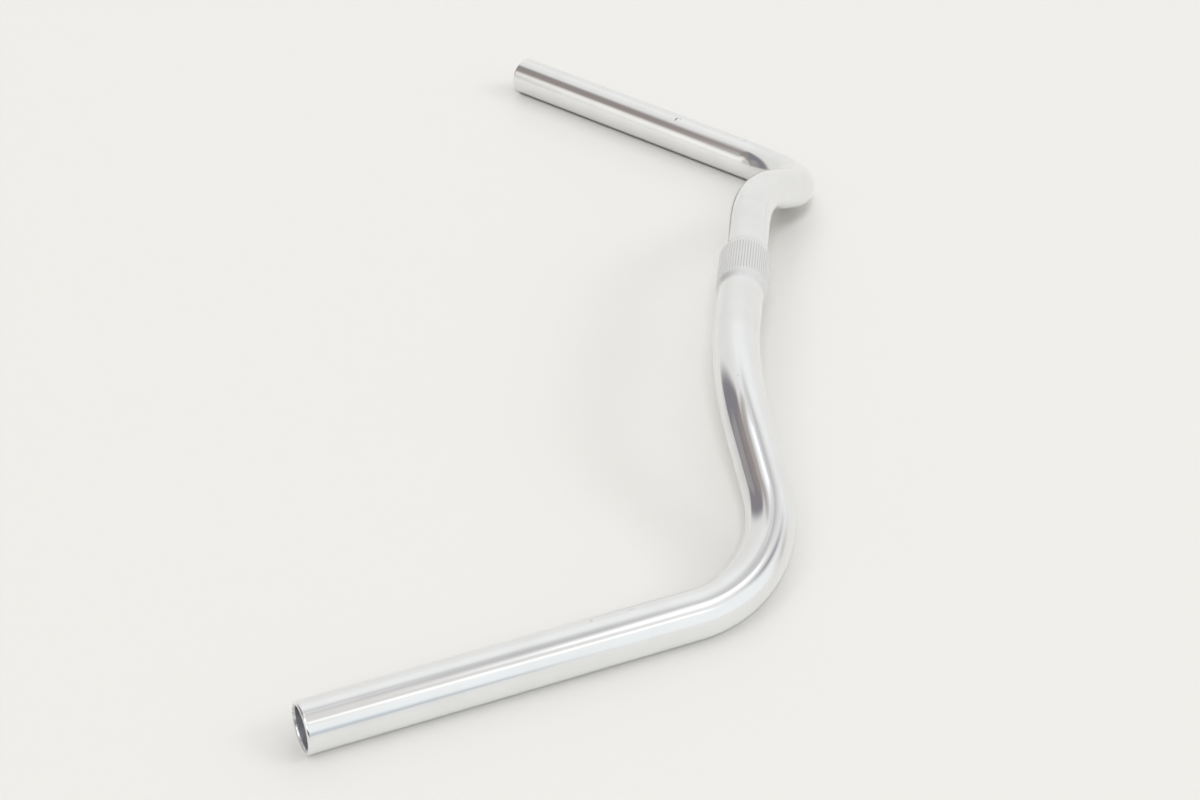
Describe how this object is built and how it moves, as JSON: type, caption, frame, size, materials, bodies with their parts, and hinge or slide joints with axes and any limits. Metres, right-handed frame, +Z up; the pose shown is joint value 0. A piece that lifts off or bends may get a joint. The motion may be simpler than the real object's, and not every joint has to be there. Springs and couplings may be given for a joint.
{
  "type": "bicycle handlebar",
  "caption": "Swept-back city handlebar: one bent aluminium tube with a swelled, knurled clamp zone and open ends.",
  "frame": {"origin": "middle of the clamp zone, on the tube's axis", "axes": "+X across the bar to the right-hand grip, +Y forward and away from the grips, +Z up as the bar lies on its two grips"},
  "size_m": [0.6202, 0.1944, 0.0688],
  "materials": {
    "aluminium": "polished and clear anodised, finely worn"
  },
  "bodies": {
    "root": {"handlebar": "aluminium"}
  },
  "joints": []
}
